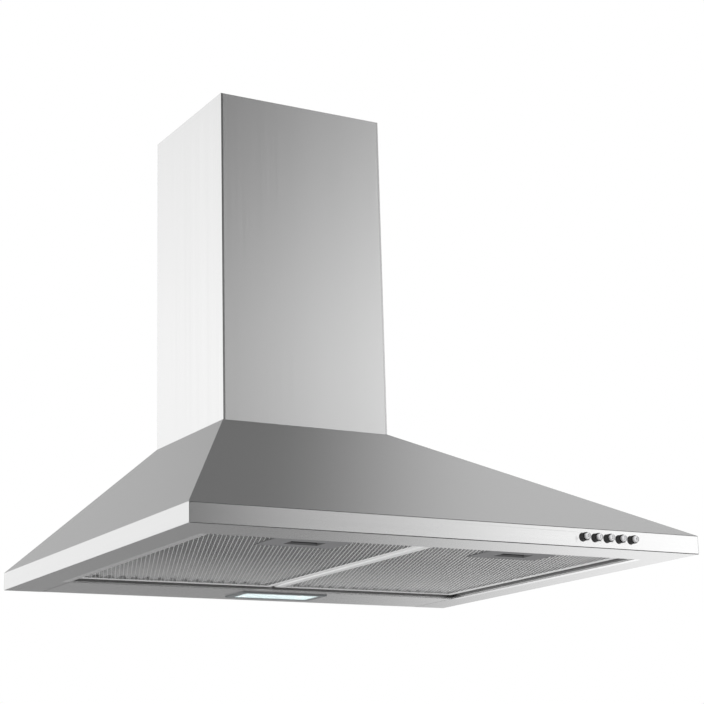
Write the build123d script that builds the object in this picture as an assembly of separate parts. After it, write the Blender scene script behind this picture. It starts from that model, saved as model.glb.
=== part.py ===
from build123d import *
import os
from math import cos, degrees, radians, sin

# ---------------------------------------------------------------- driving dimensions, mm
# Hood body. The wall is the plane y = 0, the front faces -Y, and heights count from the underside.
hood_width = 600.0
hood_depth = 512.0
fascia_height = 20.0
canopy_rise = 160.0
chimney_width = 218.0
chimney_depth = 188.0
lower_cover_height = 400.0
sheet = 0.8
fold_radius = 1.2
fit_gap = 0.2

# Wall fixing: the part's origin is the centre of the four wall screws.
wall_screw_height = 90.0
wall_screw_across = 260.0
wall_screw_rows = 60.0
wall_screw_hole_radius = 4.0
back_plate = 1.2
back_rim = 12.0

# Underside
side_flange = 45.0
front_flange = 54.0
rim_height = 20.0
rear_panel_depth = 90.0
rear_panel_fold = 12.0
rear_panel_gap = 0.5
rail_half_width = 8.0
rail_flange = 6.0
rail_height = 5.0

# Grease filters
filter_gap = 2.5
filter_thickness = 9.0
filter_recess = 4.0
frame_wall = 0.8
frame_face = 9.0
frame_round = 3.0
frame_lip_round = 0.6
net_sheet = 0.6
net_columns = 12
net_rows = 12
net_land = 4.0
pack_sheet = 0.4
pack_folds = 16
retaining_bar = 4.0
hook_width = 16.0
hook_length = 5.0
hook_sheet = 1.0
hook_spread = 70.0

# Filter handle and latch
handle_width = 88.0
handle_depth = 58.0
slot_width = 39.0
slot_depth = 18.5
slot_from_front = 34.0
latch_sheet = 2.0
latch_width = 34.0
tongue_width = 24.0
tongue_reach = 4.5
latch_travel = 6.0
latch_play = 0.3
finger_tab = 2.5
spring_strip = 0.5

# Push buttons
button_count = 5
button_end_margin = 92.2
button_pitch = 15.6
button_radius = 4.4
button_reach = 10.0
button_travel = 3.0
button_play = 0.3
button_collar = 1.2
button_stem_radius = 3.0
button_stem_length = 11.0
button_collar_length = 1.5
button_edge = 0.7
switch_block_depth = 23.0
switch_block_margin = 11.0
switch_block_half_height = 8.0
switch_terminal = 5.0

# Lamp in the rear panel
lamp_x = 27.0
lamp_y = -50.0
lens_length = 98.0
lens_width = 37.0
bezel_border = 8.0
bezel_sheet = 1.2
reflector_height = 22.0
reflector_taper = 9.0
reflector_sheet = 0.8
lamp_housing_height = 32.0
led_rows = 2
led_bar_width = 7.0
led_board_sheet = 1.6

# Telescopic chimney
cover_flange = 12.0
cover_gap = 1.0
upper_cover_start = 35.0
upper_cover_top_gap = 3.0
vent_slots = 6
vent_pitch = 9.0
vent_height = 4.0
vent_length = 90.0
vent_from_top = 24.0
bracket_sheet = 1.2
bracket_height = 28.0
bracket_inset = 15.0
upper_bracket_drop = 12.0
bracket_tab = 10.0
bracket_hole_radius = 2.75
bracket_hole_across = 120.0
bracket_hold_gap = 0.2

# Blower
neck_flange = 16.0
neck_rear = 12.0
plate_sheet = 1.5
plate_margin = 3.0
scroll_start_radius = 66.0
scroll_end_radius = 84.0
tongue_angle = 80.0
scroll_arcs = 4
fan_axis_drop = 71.0
scroll_half_width = 48.0
scroll_wall = 2.0
outlet_rim = 8.0
inlet_radius = 48.0
inlet_lip = 5.0
lug_radius = 5.0
lug_angles = (140.0, 195.0, 240.0, 310.0)
wheel_radius = 60.0
wheel_inner_radius = 50.0
wheel_half_width = 40.0
blade_count = 36
blade_sheet = 0.8
blade_sweep = 9.0
wheel_ring = 3.0
disc_sheet = 1.5
disc_radius = 54.0
hub_radius = 11.0
hub_length = 20.0
shaft_radius = 4.0
running_gap = 0.08
motor_radius = 34.0
motor_band_radius = 36.0
motor_length = 39.0
spider_sheet = 2.5
spider_ring = (55.0, 64.0)
spider_arm_width = 12.0
spider_arms = 3
guard_sheet = 2.0
guard_spokes = 6
guard_ring = (31.0, 29.0)
guard_hub_radius = 12.0
guard_spoke_width = 2.5
motor_screw_ring = 26.0

# Duct adaptor and back-draught damper, for a 120 mm duct
duct_radius = 60.0
adaptor_wall = 2.0
adaptor_rise = 38.0
collar_wall = 1.7
collar_height = 40.0
collar_bead = 2.5
damper_height = 18.0
damper_pin_radius = 1.5
knuckle_radius = 3.0
knuckle_count = 4
knuckle_length = 25.0
flap_sheet = 1.2
flap_edge_gap = 1.3
stop_ledge = 3.1

# Electrical pieces and fasteners
capacitor_radius = 15.0
capacitor_length = 55.0
capacitor_stud_radius = 4.0
capacitor_place = (-76.0, -60.0)
gland_bore_radius = 4.5
gland_place = (-70.0, -26.0)
terminal_box_height = 34.0
terminal_box_rear = -50.0
terminal_box_length = 80.0
terminal_corner = 3.0
box_wall = 1.8
screw_radius = 2.0
screw_head_radius = 4.0
screw_head_height = 2.4
screw_gap = 0.08

# ---------------------------------------------------------------- places that follow from them
half_width = hood_width / 2
canopy_top = fascia_height + canopy_rise
chimney_top = canopy_top + lower_cover_height
opening_half = half_width - side_flange
opening_front = -(hood_depth - front_flange)
neck_half = chimney_width / 2 - neck_flange
bracket_half_width = chimney_width / 2 - bracket_inset
button_first_x = half_width - button_end_margin - (button_count - 1) * button_pitch
plate_bottom = canopy_top
plate_top = plate_bottom + plate_sheet

filter_left_edge = filter_gap * 0.7
filter_width = opening_half - filter_gap - filter_left_edge
filter_centre_x = filter_left_edge + filter_width / 2
filter_rear = -(rear_panel_depth + filter_gap)
filter_front = opening_front + filter_gap
filter_top = filter_recess + filter_thickness
latch_top = filter_top - frame_wall - 0.7
latch_bottom = latch_top - latch_sheet

tongue_y = scroll_start_radius * cos(radians(tongue_angle))
outlet_middle = (tongue_y + scroll_end_radius) / 2
duct_y = -chimney_depth / 2
fan_y = duct_y - outlet_middle
fan_z = canopy_top - fan_axis_drop
scroll_outside = scroll_half_width + scroll_wall
adaptor_top = plate_top + adaptor_wall + adaptor_rise + 6.0
collar_top = adaptor_top + collar_height
damper_z = adaptor_top + damper_height
collar_inner = duct_radius - collar_wall


# ---------------------------------------------------------------- helpers
def block(x_range, y_range, z_range):
    """A box between two values on each axis."""
    spans = (x_range, y_range, z_range)
    sizes = [abs(b - a) for a, b in spans]
    middles = [(a + b) / 2 for a, b in spans]
    return Pos(*middles) * Box(*sizes)


def rod_x(radius, x_range, y, z):
    middle = (x_range[0] + x_range[1]) / 2
    return Pos(middle, y, z) * Rot(0, 90, 0) * Cylinder(radius, abs(x_range[1] - x_range[0]))


def rod_y(radius, x, y_range, z):
    middle = (y_range[0] + y_range[1]) / 2
    return Pos(x, middle, z) * Rot(90, 0, 0) * Cylinder(radius, abs(y_range[1] - y_range[0]))


def rod_z(radius, x, y, z_range):
    middle = (z_range[0] + z_range[1]) / 2
    return Pos(x, y, middle) * Cylinder(radius, abs(z_range[1] - z_range[0]))


def hex_screw(length):
    """Head upwards on z = 0, shank downwards."""
    head = extrude(RegularPolygon(screw_head_radius, 6), screw_head_height)
    return head + rod_z(screw_radius, 0, 0, (-length, 0.5))


def screw_hole(x, y, z_range):
    return rod_z(screw_radius + screw_gap, x, y, z_range)


# ---------------------------------------------------------------- canopy
def across_face(inset):
    """Front view of the canopy, moved inwards by inset."""
    half_neck = chimney_width / 2
    outline = Polyline(
        (-half_width, 0),
        (-half_width, fascia_height),
        (-half_neck, canopy_top),
        (half_neck, canopy_top),
        (half_width, fascia_height),
        (half_width, 0),
        close=True,
    )
    face = make_face(outline)
    return offset(face, -inset, kind=Kind.INTERSECTION) if inset else face


def side_face(inset, rear):
    """Side view of the canopy, with its rear edge at y = rear, moved inwards by inset."""
    outline = Polyline(
        (rear, 0),
        (-hood_depth, 0),
        (-hood_depth, fascia_height),
        (-chimney_depth, canopy_top),
        (rear, canopy_top),
        close=True,
    )
    face = make_face(outline)
    return offset(face, -inset, kind=Kind.INTERSECTION) if inset else face


def canopy_form(inset, rear):
    """The pyramid on its upright skirt: where the front view and the side view meet."""
    front_view = Pos(0, rear, 0) * extrude(Plane.XZ * across_face(inset), hood_depth + rear + 10)
    side_view = extrude(Plane.YZ * side_face(inset, rear), half_width, both=True)
    return front_view & side_view


def button_places():
    middle = fascia_height / 2 + 0.5
    return [(button_first_x + i * button_pitch, middle) for i in range(button_count)]


def plate_screw_places():
    x = chimney_width / 2 - neck_flange / 2
    return [(side * x, -chimney_depth * part) for side in (-1, 1) for part in (0.22, 0.8)]


def canopy_shell():
    skin = canopy_form(0, 0)
    folds = skin.edges().filter_by(lambda e: e.center().Y < -1 and e.center().Z < canopy_top - 1)
    skin = fillet(folds, fold_radius)
    skin -= canopy_form(sheet, 5)
    skin -= block((-opening_half, opening_half), (opening_front, 1), (-1, sheet + 1))
    skin -= block((-neck_half, neck_half), (-(chimney_depth - neck_flange), -neck_rear),
                  (canopy_top - 2, canopy_top + 1))
    rim = block((-opening_half - sheet, opening_half + sheet),
                (opening_front - sheet, -back_plate - fit_gap), (0, rim_height))
    rim -= block((-opening_half, opening_half), (opening_front, 1), (-1, rim_height + 1))
    skin += rim
    for side in (-1, 1):
        x = side * filter_centre_x
        half = tongue_width / 2 + 4
        skin -= block((x - half, x + half), (opening_front - 2, opening_front + 1),
                      (latch_bottom - 0.8, latch_top + 0.8))
    for x, z in button_places():
        skin -= rod_y(button_radius + button_play, x, (-hood_depth - 1, -hood_depth + 2), z)
    for x, y in plate_screw_places():
        skin -= screw_hole(x, y, (canopy_top - 3, canopy_top + 1))
    return skin


def back_panel():
    """A tray whose rim turns forwards under the canopy's folds."""
    outer_inset = sheet + fit_gap
    tray = extrude(Plane.XZ * across_face(outer_inset), back_rim)
    hollow = extrude(Plane.XZ * across_face(outer_inset + sheet), back_rim + 1)
    hollow += block((-half_width + 2 * outer_inset, half_width - 2 * outer_inset),
                    (-back_rim - 1, 0), (0, fascia_height))
    tray -= Pos(0, -back_plate, 0) * hollow
    for x in (-wall_screw_across / 2, wall_screw_across / 2):
        for z in (-wall_screw_rows / 2, wall_screw_rows / 2):
            tray -= rod_y(wall_screw_hole_radius, x, (-5, 5), wall_screw_height + z)
    return tray


def rear_panel():
    """The tray behind the filters that carries the lamp."""
    half = opening_half - rear_panel_gap
    rear = -back_plate
    panel = block((-half, half), (-rear_panel_depth, rear), (0, sheet))
    panel += block((-half, half), (-rear_panel_depth, -rear_panel_depth + sheet), (0, rim_height))
    panel += block((-half, half), (rear - sheet, rear), (0, rear_panel_fold))
    for side in (-1, 1):
        panel += block((side * half, side * (half - sheet)), (-rear_panel_depth, rear),
                       (0, rear_panel_fold))
    panel -= block(
        (lamp_x - lens_length / 2 - 3, lamp_x + lens_length / 2 + 3),
        (lamp_y - lens_width / 2 - 3, lamp_y + lens_width / 2 + 3),
        (-1, sheet + 1),
    )
    hook_z = filter_recess + filter_thickness / 2
    for x in hook_places():
        panel -= block((x - hook_width / 2 - 3, x + hook_width / 2 + 3),
                       (-rear_panel_depth - 1, -rear_panel_depth + 2),
                       (hook_z - 1.2, hook_z + hook_sheet + 2.2))
    return panel


def hook_places():
    return [side * filter_centre_x + spread for side in (-1, 1) for spread in (-hook_spread, hook_spread)]


def centre_rail():
    """Hat section over the gap between the filters."""
    base = rim_height - rail_height
    y_range = (opening_front + fit_gap, -rear_panel_depth - fit_gap)
    rail = block((-rail_half_width, rail_half_width), y_range, (base, rim_height))
    rail -= block((-rail_half_width + sheet, rail_half_width - sheet), (y_range[0] - 1, y_range[1] + 1),
                  (base - 1, rim_height - sheet))
    for side in (-1, 1):
        inner = rail_half_width - sheet
        rail += block((side * inner, side * (rail_half_width + rail_flange)), y_range,
                      (base, base + sheet))
    return rail


# ---------------------------------------------------------------- filters
def diamond(x, y, width, depth):
    outline = Polyline(
        (x - width / 2, y), (x, y - depth / 2), (x + width / 2, y), (x, y + depth / 2), close=True
    )
    return make_face(outline)


def on_frame_lip(point, centre):
    """True on the lower edges round the frame's opening."""
    margin = frame_face - 0.1
    inside_x = abs(point.X - centre) < filter_width / 2 - margin
    inside_y = filter_front + margin < point.Y < filter_rear - margin
    return inside_x and inside_y and abs(point.Z - filter_recess) < 0.01


def filter_frame(side):
    """Folded channel round the cassette, with two hooks behind and bars on top."""
    centre = side * filter_centre_x
    left = centre - filter_width / 2
    right = centre + filter_width / 2
    frame = block((left, right), (filter_front, filter_rear), (filter_recess, filter_top))
    frame = fillet(frame.edges().group_by(Axis.Z)[0], frame_round)
    room = block((left + frame_wall, right - frame_wall),
                 (filter_front + frame_wall, filter_rear - frame_wall),
                 (filter_recess + frame_wall, filter_top - frame_wall))
    frame -= fillet(room.edges().group_by(Axis.Z)[0], frame_round - frame_wall)
    frame -= block((left + frame_face, right - frame_face),
                   (filter_front + frame_face, filter_rear - frame_face),
                   (filter_recess - 1, filter_top + 1))
    lip_edges = frame.edges().filter_by(lambda e: on_frame_lip(e.center(), centre))
    frame = fillet(lip_edges, frame_lip_round)
    bar_z = (filter_top - frame_wall, filter_top)
    middle_y = (filter_front + filter_rear) / 2
    for part in (-0.18, 0.22):
        y = middle_y + part * (filter_rear - filter_front)
        frame += block((left + frame_face - 1, right - frame_face + 1),
                       (y - retaining_bar / 2, y + retaining_bar / 2), bar_z)
    half = tongue_width / 2 + latch_play
    frame -= block((centre - half, centre + half), (filter_front - 1, filter_front + 2),
                   (latch_bottom - latch_play, latch_top + latch_play))
    hook_z = filter_recess + filter_thickness / 2
    for spread in (-hook_spread, hook_spread):
        x = centre + spread
        frame += block((x - hook_width / 2, x + hook_width / 2),
                       (filter_rear - frame_wall, filter_rear + hook_length),
                       (hook_z, hook_z + hook_sheet))
    return frame


def handle_area(side, margin):
    """Half width and rear edge of the handle plate, with a margin."""
    front = filter_front + frame_face
    centre = side * filter_centre_x
    return (centre - handle_width / 2 - margin, centre + handle_width / 2 + margin,
            front + handle_depth + margin)


def pocket_box(side, margin, z_range):
    """The latch pocket behind the handle plate."""
    centre = side * filter_centre_x
    half = slot_width / 2 + 1 + margin
    front = filter_front + frame_round + fit_gap - margin
    rear = filter_front + frame_face + handle_depth - 1 + margin
    return block((centre - half, centre + half), (front, rear), z_range)


def filter_net(side):
    """Open expanded sheet under the cassette: one holed face."""
    centre = side * filter_centre_x
    lap = frame_round + fit_gap
    width = filter_width - 2 * lap
    depth = filter_rear - filter_front - 2 * lap
    middle_y = (filter_front + filter_rear) / 2
    net = Pos(centre, middle_y) * Rectangle(width, depth)
    open_width = filter_width - 2 * frame_face - net_land
    open_depth = filter_rear - filter_front - 2 * frame_face - net_land
    pitch_x = open_width / (net_columns + 0.5)
    pitch_y = open_depth / net_rows
    plate_left, plate_right, plate_rear = handle_area(side, 1.0)
    gaps = []
    for row in range(net_rows):
        for column in range(net_columns):
            shift = 0.25 if row % 2 else -0.25
            x = centre + (column - (net_columns - 1) / 2 + shift) * pitch_x
            y = middle_y + (row - (net_rows - 1) / 2) * pitch_y
            gap_width = pitch_x - 3.0
            gap_depth = pitch_y - 4.0
            over_plate = plate_left - gap_width / 2 < x < plate_right + gap_width / 2
            if over_plate and y - gap_depth / 2 < plate_rear:
                continue
            gaps.append(diamond(x, y, gap_width, gap_depth))
    net -= gaps
    bottom = filter_recess + frame_wall
    net = Pos(0, 0, bottom) * extrude(net, net_sheet)
    return net - pocket_box(side, fit_gap, (0, filter_top))


def filter_pack(side):
    """Folded inner layer, whose ridges run front to back."""
    centre = side * filter_centre_x
    lap = frame_wall + 1.0
    low = filter_recess + frame_wall + net_sheet + 0.1
    high = filter_top - frame_wall - 0.1 - pack_sheet
    span = filter_width - 2 * lap
    lower = []
    for i in range(pack_folds * 2 + 1):
        x = centre - span / 2 + span * i / (pack_folds * 2)
        lower.append((x, high if i % 2 else low))
    upper = [(x, z + pack_sheet) for x, z in reversed(lower)]
    profile = make_face(Polyline(*lower, *upper, close=True))
    front = filter_front + frame_round + fit_gap
    rear = filter_rear - frame_round - fit_gap
    layer = Pos(0, rear, 0) * extrude(Plane.XZ * profile, rear - front)
    return layer - pocket_box(side, fit_gap, (0, filter_top))


def slot_range():
    front = filter_front + slot_from_front
    return (front, front + slot_depth)


def handle_plate(side):
    """Plate with a finger slot, and the pocket behind it that guides the latch."""
    centre = side * filter_centre_x
    half_plate = handle_width / 2
    plate_front = filter_front + frame_face + fit_gap
    plate_rear = filter_front + frame_face + handle_depth
    plate_top_z = filter_recess + frame_wall
    plate = block((centre - half_plate, centre + half_plate), (plate_front, plate_rear),
                  (filter_recess, plate_top_z))
    plate += pocket_box(side, 0, (plate_top_z, filter_top - frame_wall))
    half_slot = slot_width / 2
    plate -= block((centre - half_slot, centre + half_slot), slot_range(),
                   (filter_recess - 1, latch_top + latch_play))
    half_latch = latch_width / 2 + latch_play
    plate -= block((centre - half_latch, centre + half_latch), (filter_front, plate_rear - 2.5),
                   (latch_bottom - latch_play, latch_top + latch_play))
    return plate


def latch(side):
    """Sliding bolt: its tongue sits in the canopy's front rim, its tab in the finger slot."""
    centre = side * filter_centre_x
    slot_front, slot_rear = slot_range()
    tab_rear = slot_rear - latch_travel - 0.9
    body_front = filter_front + 7.0
    half = latch_width / 2
    bolt = block((centre - half, centre + half), (body_front, tab_rear + 1), (latch_bottom, latch_top))
    tip = opening_front - tongue_reach
    half_tongue = tongue_width / 2
    bolt += block((centre - half_tongue, centre + half_tongue), (tip, body_front + 1),
                  (latch_bottom, latch_top))
    tip_edge = bolt.edges().filter_by(Axis.X).group_by(Axis.Y)[0].sort_by(Axis.Z)[-1]
    bolt = chamfer(tip_edge, latch_sheet * 0.5)
    tab_half = half - 3
    bolt += block((centre - tab_half, centre + tab_half), (tab_rear - finger_tab, tab_rear),
                  (filter_recess + 0.9, latch_bottom + 0.5))
    return bolt


def latch_spring(side):
    """A bent strip between the bolt and the pocket's rear wall."""
    centre = side * filter_centre_x
    start = slot_range()[1] - latch_travel - 0.9 + 1 + 0.2
    end = filter_front + frame_face + handle_depth - 2.5 - 0.1
    reach = 12.0
    front_line = [(centre - reach, end - spring_strip), (centre, start), (centre + reach, end - spring_strip)]
    rear_line = [(x, y + spring_strip) for x, y in reversed(front_line)]
    strip = make_face(Polyline(*front_line, *rear_line, close=True))
    return Pos(0, 0, latch_bottom + 0.2) * extrude(strip, latch_sheet - 0.4)


# ---------------------------------------------------------------- buttons and lamp
def push_button(index):
    """Barrel through the fascia, a collar that keeps it in, and a stem behind."""
    x, z = button_places()[index]
    face_y = -hood_depth - button_reach
    collar_y = -hood_depth + sheet + button_play
    barrel = rod_y(button_radius, x, (face_y, collar_y), z)
    front_edge = barrel.edges().group_by(Axis.Y)[0]
    barrel = fillet(front_edge, button_edge)
    barrel += rod_y(button_radius + button_collar, x, (collar_y, collar_y + button_collar_length), z)
    barrel += rod_y(button_stem_radius, x, (collar_y + 1, collar_y + button_stem_length), z)
    return barrel


def switch_block():
    places = button_places()
    front = -hood_depth + sheet
    middle = places[0][1]
    block_solid = block((places[0][0] - switch_block_margin, places[-1][0] + switch_block_margin),
                        (front, front + switch_block_depth),
                        (middle - switch_block_half_height, middle + switch_block_half_height))
    block_solid = fillet(block_solid.edges().filter_by(Axis.Y), 1.5)
    collar_room = button_collar_length + button_travel + 2 * button_play + 0.4
    collar_hole = button_radius + button_collar + button_play
    for x, z in places:
        block_solid -= rod_y(collar_hole, x, (front - 1, front + collar_room), z)
        block_solid -= rod_y(button_stem_radius + button_play, x, (front, front + switch_block_depth - 6), z)
    terminal_y = front + switch_block_depth
    for x, z in places:
        block_solid += block((x - 1.5, x + 1.5), (terminal_y - 0.5, terminal_y + switch_terminal),
                             (z - 0.4, z + 0.4))
    return block_solid


def lamp_rectangle(border, taper=0.0):
    width = lens_length + 2 * border - 2 * taper
    depth = lens_width + 2 * border - 2 * taper
    return Pos(lamp_x, lamp_y) * Rectangle(width, depth)


def lamp_bezel():
    ring = fillet(lamp_rectangle(bezel_border).vertices(), 3.0) - lamp_rectangle(0)
    return Pos(0, 0, -bezel_sheet) * extrude(ring, bezel_sheet)


def lamp_lens():
    """Clear cover, flush in its bezel, with a step that rests on the bezel's inner edge."""
    window = lamp_rectangle(-fit_gap)
    step = lamp_rectangle(2.5)
    return Pos(0, 0, -bezel_sheet + 0.2) * extrude(window, bezel_sheet) + extrude(step, sheet)


def lamp_reflector():
    """Tapered trough on a flange, open below and above."""
    base = sheet
    flange = Pos(0, 0, base) * extrude(lamp_rectangle(bezel_border - 1), reflector_sheet)
    top = Pos(0, 0, base + reflector_height)
    outer = loft([Pos(0, 0, base) * lamp_rectangle(reflector_sheet),
                  top * lamp_rectangle(reflector_sheet, reflector_taper)])
    inner = loft([Pos(0, 0, base) * lamp_rectangle(0), top * lamp_rectangle(0, reflector_taper)])
    return (flange + outer) - inner - extrude(lamp_rectangle(0), base + reflector_sheet * 0.5)


def led_board():
    """Strip board on top of the trough, with two lit bars below it."""
    base = sheet + reflector_height
    board = Pos(0, 0, base) * extrude(lamp_rectangle(1, reflector_taper), led_board_sheet)
    inner_length = lens_length - 2 * reflector_taper - 6
    for row in range(led_rows):
        y = lamp_y + (row - (led_rows - 1) / 2) * (led_bar_width + 3)
        board += block((lamp_x - inner_length / 2, lamp_x + inner_length / 2),
                       (y - led_bar_width / 2, y + led_bar_width / 2), (base - 1.5, base + 0.5))
    return board


def lamp_housing():
    """Box lid over the trough, open below."""
    border = bezel_border + 1
    base = sheet
    cover = Pos(0, 0, base) * extrude(lamp_rectangle(border), lamp_housing_height)
    cover = fillet(cover.edges().filter_by(Axis.Z), 2.0)
    return cover - Pos(0, 0, base - 1) * extrude(lamp_rectangle(border - 1), lamp_housing_height)


# ---------------------------------------------------------------- telescopic chimney
def chimney_cover(width, depth, rear_y, z_range):
    """Three-sided cover with its rear edges turned in."""
    cover = block((-width / 2, width / 2), (-depth, rear_y), z_range)
    front_corners = cover.edges().filter_by(Axis.Z).group_by(Axis.Y)[0]
    cover = fillet(front_corners, fold_radius)
    longer = (z_range[0] - 1, z_range[1] + 1)
    cover -= block((-width / 2 + sheet, width / 2 - sheet), (-depth + sheet, rear_y - sheet), longer)
    inner_edge = width / 2 - cover_flange
    cover -= block((-inner_edge, inner_edge), (rear_y - 2 * sheet, rear_y + 1), longer)
    return cover


def lower_chimney_cover():
    return chimney_cover(chimney_width, chimney_depth, 0, (canopy_top, chimney_top))


def upper_cover_rear():
    return -(sheet + 0.7)


def upper_chimney_cover():
    inset = sheet + cover_gap
    top = chimney_top - upper_cover_top_gap
    cover = chimney_cover(chimney_width - 2 * inset, chimney_depth - inset, upper_cover_rear(),
                          (canopy_top + upper_cover_start, top))
    slot_y = duct_y
    for i in range(vent_slots):
        z = top - vent_from_top - i * vent_pitch
        cover -= block((-half_width, half_width), (slot_y - vent_length / 2, slot_y + vent_length / 2),
                       (z - vent_height / 2, z + vent_height / 2))
    return cover


def wall_bracket(hold_y, z_bottom):
    """Strip on the wall whose two ears hold the covers' turned-in edges."""
    z_range = (z_bottom, z_bottom + bracket_height)
    front = hold_y - bracket_sheet
    strip = block((-bracket_half_width, bracket_half_width), (-bracket_sheet, 0), z_range)
    for side in (-1, 1):
        outer = side * bracket_half_width
        strip += block((outer - side * bracket_sheet, outer), (front, 0), z_range)
        strip += block((outer - side * bracket_sheet, outer + side * bracket_tab), (front, hold_y), z_range)
        strip -= rod_y(bracket_hole_radius, side * bracket_hole_across / 2, (-5, 5),
                       z_bottom + bracket_height / 2)
    return strip


def upper_wall_bracket():
    hold = upper_cover_rear() - sheet - bracket_hold_gap
    return wall_bracket(hold, chimney_top - upper_bracket_drop - bracket_height)


def lower_wall_bracket():
    return wall_bracket(-sheet - bracket_hold_gap, canopy_top + upper_cover_start - bracket_height - fit_gap)


# ---------------------------------------------------------------- blower
def scroll_radius(angle):
    share = (angle - tongue_angle) / (360.0 - tongue_angle)
    return scroll_start_radius + (scroll_end_radius - scroll_start_radius) * share


def scroll_point(angle, wall):
    radius = scroll_radius(angle) + wall
    return (fan_y + radius * cos(radians(angle)), fan_z + radius * sin(radians(angle)))


def scroll_face(wall, top):
    """Section of the scroll: a growing spiral, the wheel's own circle and the outlet channel."""
    step = (360.0 - tongue_angle) / scroll_arcs
    edges = []
    for i in range(scroll_arcs):
        a = tongue_angle + i * step
        edges.append(ThreePointArc(scroll_point(a, wall), scroll_point(a + step / 2, wall),
                                   scroll_point(a + step, wall)))
    centre = (fan_y, fan_z)
    edges.append(Line(edges[-1] @ 1, centre))
    edges.append(Line(centre, edges[0] @ 0))
    spiral = make_face(Wire(edges))
    wheel_room = Pos(fan_y, fan_z) * Circle(scroll_start_radius + wall)
    low_y = fan_y + tongue_y - wall
    high_y = fan_y + scroll_end_radius + wall
    channel = Pos((low_y + high_y) / 2, (fan_z + top) / 2) * Rectangle(high_y - low_y, top - fan_z)
    return spiral + wheel_room + channel


def outlet_y_range(margin):
    return (fan_y + tongue_y - margin, fan_y + scroll_end_radius + margin)


def outlet_screw_places():
    low, high = outlet_y_range(outlet_rim - 3.5)
    x = scroll_outside + 3.5
    return [(side * x, y) for side in (-1, 1) for y in (low + 1.5, high - 1.5)]


def lug_places():
    places = []
    for angle in lug_angles:
        radius = scroll_radius(angle) + scroll_wall + lug_radius - 0.5
        places.append((fan_y + radius * cos(radians(angle)), fan_z + radius * sin(radians(angle))))
    return places


def volute_half(side):
    """One half of the scroll, split on the wheel's middle plane."""
    outer = extrude(Plane.YZ * scroll_face(scroll_wall, plate_bottom), side * scroll_outside)
    inner = extrude(Plane.YZ * scroll_face(0, plate_bottom + 1), side * scroll_half_width)
    rim = block((0, side * (scroll_outside + outlet_rim)), outlet_y_range(outlet_rim),
                (plate_bottom - 2, plate_bottom))
    lugs = [rod_x(lug_radius, (0, side * 4), y, z) for y, z in lug_places()]
    lip = rod_x(inlet_radius + scroll_wall, (side * (scroll_half_width - inlet_lip), side * scroll_outside),
                fan_y, fan_z)
    half = (outer + rim + lugs) - inner
    half += lip
    half -= rod_x(inlet_radius, (0, side * (scroll_outside + 1)), fan_y, fan_z)
    for x, y in outlet_screw_places():
        half -= screw_hole(x, y, (plate_bottom - 3, plate_bottom + 1))
    for y, z in lug_places():
        half -= rod_x(screw_radius + screw_gap, (0, side * 5), y, z)
    if side < 0:
        through = (side * (scroll_half_width - 1), side * (scroll_outside + 1))
        for y, z in spider_screw_places():
            half -= rod_x(screw_radius + screw_gap, through, y, z)
    return half


def blower_mount_plate():
    half = chimney_width / 2 - plate_margin
    plate = block((-half, half), (-chimney_depth + plate_margin, -plate_margin), (plate_bottom, plate_top))
    through = (plate_bottom - 1, plate_top + 1)
    plate -= block((-scroll_half_width, scroll_half_width), outlet_y_range(0), through)
    for x, y in outlet_screw_places() + plate_screw_places():
        plate -= screw_hole(x, y, through)
    plate -= rod_z(gland_bore_radius + 3.7, *gland_place, through)
    plate -= rod_z(capacitor_stud_radius + 0.1, *capacitor_place, through)
    return plate


def impeller():
    """Squirrel-cage wheel: forward-curved blades between two rings, on a middle disc and hub."""
    def polar(radius, turn):
        return (radius * cos(radians(turn)), radius * sin(radians(turn)))

    tip = wheel_radius - 0.5
    root_turn = degrees(blade_sheet / wheel_inner_radius)
    tip_turn = degrees(blade_sheet / tip)
    mid = (wheel_inner_radius + tip) / 2
    front = ThreePointArc(polar(wheel_inner_radius, 0), polar(mid, blade_sweep * 0.22),
                          polar(tip, blade_sweep))
    back = ThreePointArc(polar(tip, blade_sweep + tip_turn),
                         polar(mid, blade_sweep * 0.22 + (root_turn + tip_turn) / 2),
                         polar(wheel_inner_radius, root_turn))
    blade = make_face(Wire([front, Line(front @ 1, back @ 0), back, Line(back @ 1, front @ 0)]))
    blade = extrude(Plane.YZ * blade, wheel_half_width, both=True)
    blades = [Rot(i * 360.0 / blade_count, 0, 0) * blade for i in range(blade_count)]
    ring_face = Circle(wheel_radius) - Circle(wheel_radius - wheel_ring)
    ring = extrude(Plane.YZ * ring_face, 2.0)
    rings = [Pos(wheel_half_width - 2.0, 0, 0) * ring, Pos(-wheel_half_width, 0, 0) * ring]
    disc = rod_x(disc_radius, (-disc_sheet / 2, disc_sheet / 2), 0, 0)
    hub = rod_x(hub_radius, (-hub_length * 0.4, hub_length * 0.6), 0, 0)
    wheel = disc + hub + rings + blades
    wheel -= rod_x(shaft_radius, (-hub_length, hub_length), 0, 0)
    return Pos(0, fan_y, fan_z) * wheel


def motor_shaft():
    start = -scroll_outside - 1
    return rod_x(shaft_radius, (start, hub_length * 0.6), fan_y, fan_z)


def motor_body():
    """Round motor, partly inside the wheel, with its stator band and bearing boss."""
    start = -scroll_outside
    end = start + motor_length
    can = rod_x(motor_radius, (start, end - 3), fan_y, fan_z)
    can = fillet(can.edges().group_by(Axis.X)[-1], 4.0)
    can += rod_x(motor_band_radius, (start + 9, end - 13), fan_y, fan_z)
    can += rod_x(12.0, (end - 4, end), fan_y, fan_z)
    can -= rod_x(shaft_radius + running_gap, (start - 1, end + 1), fan_y, fan_z)
    for y, z in motor_screw_places():
        can -= rod_x(screw_radius + screw_gap, (start - 1, start + 8), y, z)
    return can


def ring_places(radius, count, turn):
    places = []
    for i in range(count):
        angle = radians(turn + i * 360.0 / count)
        places.append((fan_y + radius * cos(angle), fan_z + radius * sin(angle)))
    return places


def spider_screw_places():
    return ring_places(sum(spider_ring) / 2, spider_arms, 30.0)


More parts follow.
